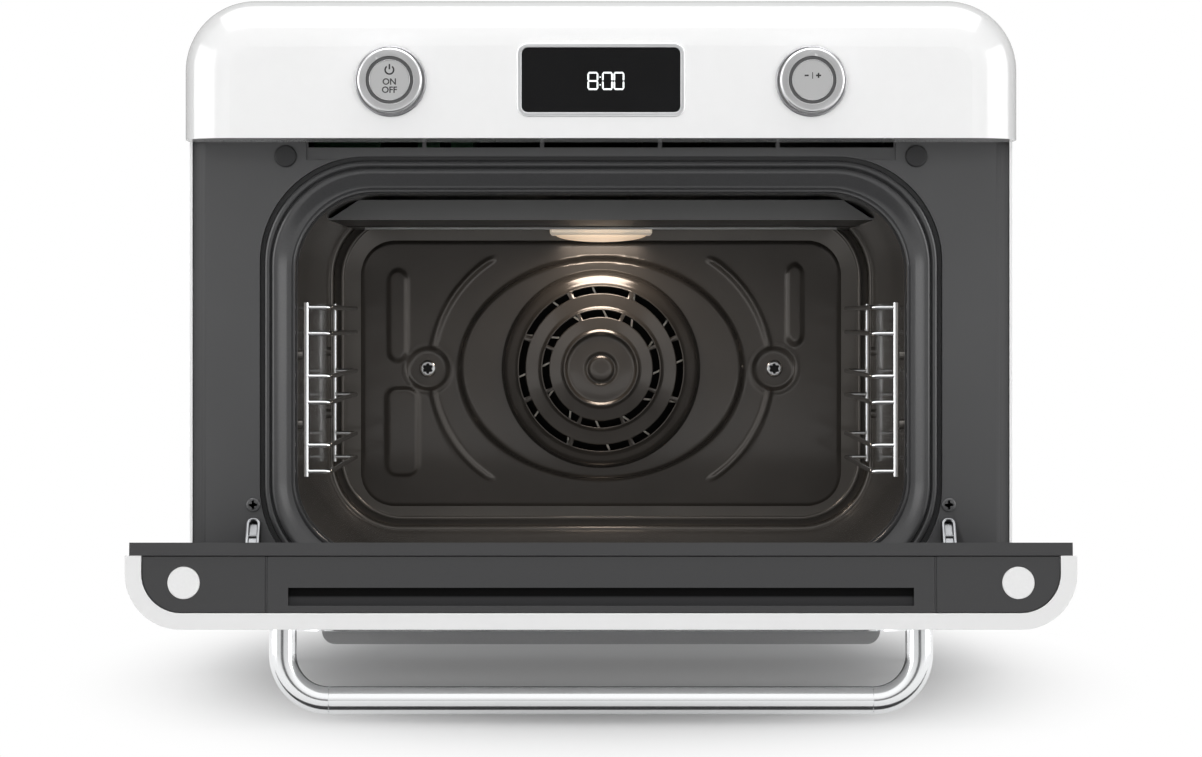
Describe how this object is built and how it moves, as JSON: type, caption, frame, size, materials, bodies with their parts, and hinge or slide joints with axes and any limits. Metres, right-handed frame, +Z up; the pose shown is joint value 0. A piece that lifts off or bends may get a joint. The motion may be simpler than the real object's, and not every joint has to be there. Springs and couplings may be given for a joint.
{
  "type": "countertop steam oven",
  "caption": "Countertop steam oven with a drop-down door, chrome bar handle, push-and-turn knobs, fan-assisted cavity with wire side racks, lift-out water tank and drip tray.",
  "frame": {"origin": "on the table, under the middle of the box round the oven with its door open", "axes": "+Z up, +Y to the back of the oven, +X to the right seen from the front"},
  "size_m": [0.498, 0.6492, 0.405],
  "materials": {
    "white_enamel": "gloss white stoved enamel",
    "chrome_trim": "polished chrome plating",
    "knob_metal": "satin turned metal",
    "zinc_steel": "bright zinc-plated steel",
    "black_glass": "polished black glass",
    "door_glass": "tinted toughened glass",
    "lamp_glass": "frosted warm glass",
    "dark_frame": "satin dark grey powder coat",
    "dark_plastic": "fine-grained dark grey moulding",
    "light_plastic": "smooth light grey moulding",
    "black_rubber": "matt black rubber",
    "oven_enamel": "glossy dark vitreous enamel",
    "heater_sheath": "heat-darkened stainless sheath",
    "circuit_board": "green solder mask",
    "mineral_wool": "pressed mineral wool"
  },
  "bodies": {
    "root": {"baffle_screws": "zinc_steel", "base_pan": "zinc_steel", "blower_housing": "dark_plastic", "cable_gland": "dark_plastic", "casing_screws": "zinc_steel", "cavity_liner": "oven_enamel", "ceiling_plate": "oven_enamel", "control_board": "circuit_board", "control_fascia": "white_enamel", "display_bezel": "chrome_trim", "display_glass": "black_glass", "door_gasket": "black_rubber", "encoder_bodies": "zinc_steel", "fan_motor": "heater_sheath", "feet": "black_rubber", "frame_bumpers": "black_rubber", "front_frame": "dark_frame", "grill_heater": "heater_sheath", "hinge_arms": "zinc_steel", "hinge_pins": "zinc_steel", "inner_deck": "zinc_steel", "insulation_blanket": "mineral_wool", "knob_rings": "chrome_trim", "lamp_bulb": "lamp_glass", "lamp_lens": "lamp_glass", "left_side_rack": "chrome_trim", "outer_wrapper": "white_enamel", "power_board": "circuit_board", "rear_baffle": "oven_enamel", "rear_cover": "dark_frame", "right_side_rack": "chrome_trim", "ring_heater": "heater_sheath", "steam_boiler": "heater_sheath", "steam_pipe": "heater_sheath", "tank_bay": "dark_plastic", "water_hose": "black_rubber", "water_pump": "dark_plastic"},
    "door": {"door_shell": "white_enamel", "door_inner_panel": "dark_frame", "door_inner_glass": "door_glass", "door_end_cap": "dark_plastic", "end_cap_plugs": "light_plastic", "window_trim": "chrome_trim", "door_outer_glass": "door_glass", "handle_elbows": "chrome_trim", "handle_bar": "chrome_trim", "handle_bolts": "zinc_steel", "hinge_channels": "zinc_steel"},
    "left_shaft": {"left_encoder_shaft": "zinc_steel"},
    "left_knob": {"left_knob": "knob_metal", "left_knob_insert": "knob_metal"},
    "right_shaft": {"right_encoder_shaft": "zinc_steel"},
    "right_knob": {"right_knob": "knob_metal", "right_knob_insert": "knob_metal"},
    "fan": {"convection_fan": "heater_sheath", "fan_shaft": "zinc_steel"},
    "blower": {"blower_rotor": "dark_plastic"},
    "tray": {"drip_tray": "dark_plastic"},
    "tank": {"water_tank": "light_plastic"},
    "flap": {"fill_flap": "light_plastic"}
  },
  "joints": [
    {"name": "door_hinge", "type": "hinge", "parent": "root", "child": "door", "pos_m": [0, -0.05999, 0.0554], "axis": [-1, 0, 0], "range_deg": [0, 85.6]},
    {"name": "fan_spin", "type": "hinge", "parent": "root", "child": "fan", "pos_m": [0, 0.28601, 0.18], "axis": [0, 1, 0], "continuous": true},
    {"name": "blower_spin", "type": "hinge", "parent": "root", "child": "blower", "pos_m": [-0.07, 0.27061, 0.3393], "axis": [1, 0, 0], "continuous": true},
    {"name": "tray_slide", "type": "slide", "parent": "root", "child": "tray", "axis": [0, -1, 0], "range_m": [0, 0.085]},
    {"name": "tank_lift", "type": "slide", "parent": "root", "child": "tank", "axis": [0, 0, 1], "range_m": [0, 0.084]},
    {"name": "flap_hinge", "type": "hinge", "parent": "tank", "child": "flap", "pos_m": [0.126, 0.23901, 0.404], "axis": [-1, 0, 0], "range_deg": [0, 100]},
    {"name": "left_knob_turn", "type": "hinge", "parent": "root", "child": "left_shaft", "pos_m": [-0.1244, -0.08339, 0.355], "axis": [0, -1, 0], "continuous": true},
    {"name": "left_knob_push", "type": "slide", "parent": "left_shaft", "child": "left_knob", "axis": [0, 1, 0], "range_m": [0, 0.0015], "stiffness_N_per_m": 1200},
    {"name": "right_knob_turn", "type": "hinge", "parent": "root", "child": "right_shaft", "pos_m": [0.1244, -0.08339, 0.355], "axis": [0, -1, 0], "continuous": true},
    {"name": "right_knob_push", "type": "slide", "parent": "right_shaft", "child": "right_knob", "axis": [0, 1, 0], "range_m": [0, 0.0015], "stiffness_N_per_m": 1200}
  ]
}
